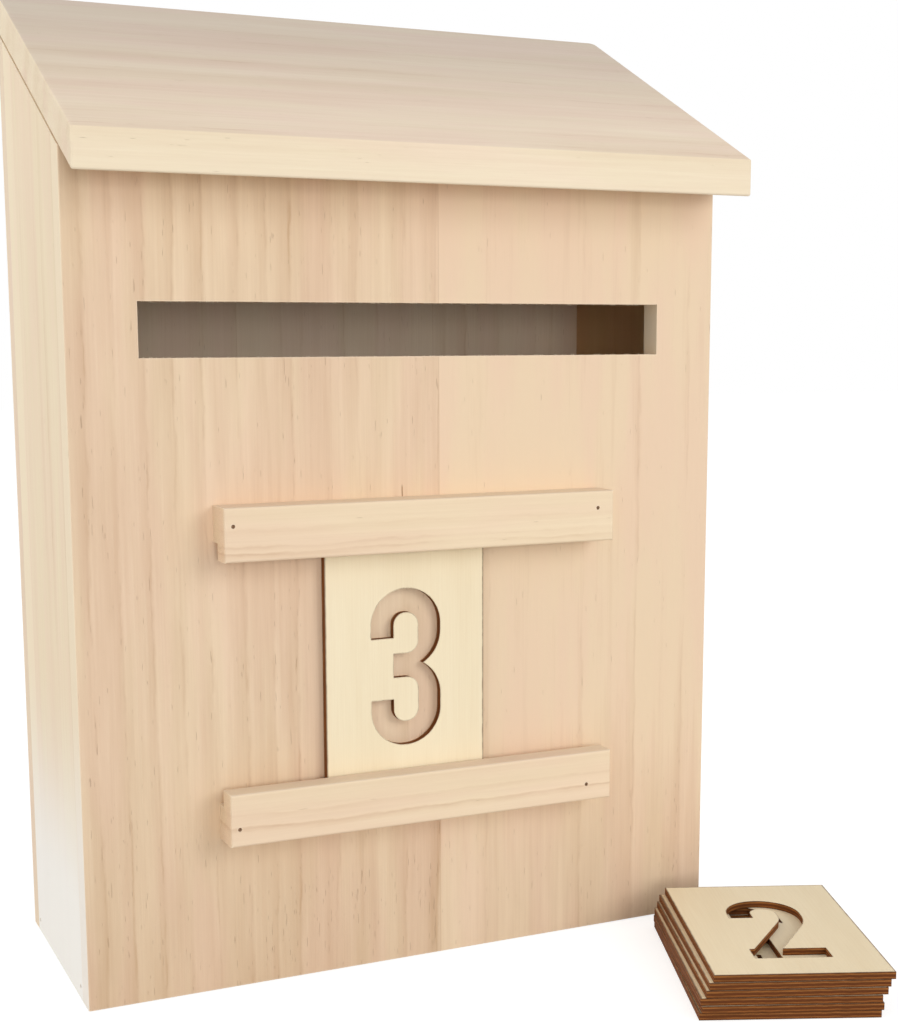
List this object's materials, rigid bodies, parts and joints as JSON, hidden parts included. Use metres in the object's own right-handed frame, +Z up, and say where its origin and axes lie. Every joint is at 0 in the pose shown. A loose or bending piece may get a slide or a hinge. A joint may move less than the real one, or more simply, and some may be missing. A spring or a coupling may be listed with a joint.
{
  "type": "letter box",
  "caption": "Wooden letter box with a hinged sloping lid, a letter slot, rails that hold a sliding number plate, and a pile of spare number plates.",
  "frame": {"origin": "middle of the case's base, on the surface that the box stands on", "axes": "+X to the right as seen from the front, +Y to the back with the letter slot facing -Y, +Z up"},
  "size_m": [0.2946, 0.2303, 0.3701],
  "materials": {
    "case_wood": "planed, unvarnished",
    "lid_wood": "planed, unvarnished",
    "rail_wood": "planed, unvarnished",
    "plate_plywood": "sanded plywood with scorched cut edges",
    "hinge_brass": "satin",
    "hinge_steel": "satin",
    "nail_steel": "dull"
  },
  "bodies": {
    "case": {"front_panel": "case_wood", "back_panel": "case_wood", "left_side": "case_wood", "right_side": "case_wood", "bottom_panel": "case_wood", "bottom_nails": "nail_steel", "lower_rail": "rail_wood", "upper_rail": "rail_wood", "rail_nails": "nail_steel", "left_hinge_case_leaf": "hinge_brass", "left_hinge_pin": "hinge_steel", "right_hinge_case_leaf": "hinge_brass", "right_hinge_pin": "hinge_steel", "case_hinge_screws": "hinge_steel"},
    "lid": {"lid": "lid_wood", "left_hinge_lid_leaf": "hinge_brass", "right_hinge_lid_leaf": "hinge_brass", "lid_hinge_screws": "hinge_steel"},
    "mounted_plate": {"number_plate_three": "plate_plywood"},
    "spare_zero": {"spare_plate_zero": "plate_plywood"},
    "spare_four": {"spare_plate_four": "plate_plywood"},
    "spare_seven": {"spare_plate_seven": "plate_plywood"},
    "spare_five": {"spare_plate_five": "plate_plywood"},
    "spare_one": {"spare_plate_one": "plate_plywood"},
    "spare_two": {"spare_plate_two": "plate_plywood"}
  },
  "joints": [
    {"name": "lid_hinge", "type": "hinge", "parent": "case", "child": "lid", "pos_m": [0, 0.0534, 0.35627], "axis": [-1, 0, 0], "range_deg": [0, 170]},
    {"name": "plate_slide", "type": "slide", "parent": "case", "child": "mounted_plate", "axis": [1, 0, 0], "range_m": [-0.1062, 0.117]},
    {"name": "lift_plate_zero", "type": "slide", "parent": "case", "child": "spare_zero", "axis": [0, 0, 1], "range_m": [0, 0.05]},
    {"name": "lift_plate_four", "type": "slide", "parent": "spare_zero", "child": "spare_four", "axis": [0, 0, 1], "range_m": [0, 0.05]},
    {"name": "lift_plate_seven", "type": "slide", "parent": "spare_four", "child": "spare_seven", "axis": [0, 0, 1], "range_m": [0, 0.05]},
    {"name": "lift_plate_five", "type": "slide", "parent": "spare_seven", "child": "spare_five", "axis": [0, 0, 1], "range_m": [0, 0.05]},
    {"name": "lift_plate_one", "type": "slide", "parent": "spare_five", "child": "spare_one", "axis": [0, 0, 1], "range_m": [0, 0.05]},
    {"name": "lift_plate_two", "type": "slide", "parent": "spare_one", "child": "spare_two", "axis": [0, 0, 1], "range_m": [0, 0.05]}
  ]
}
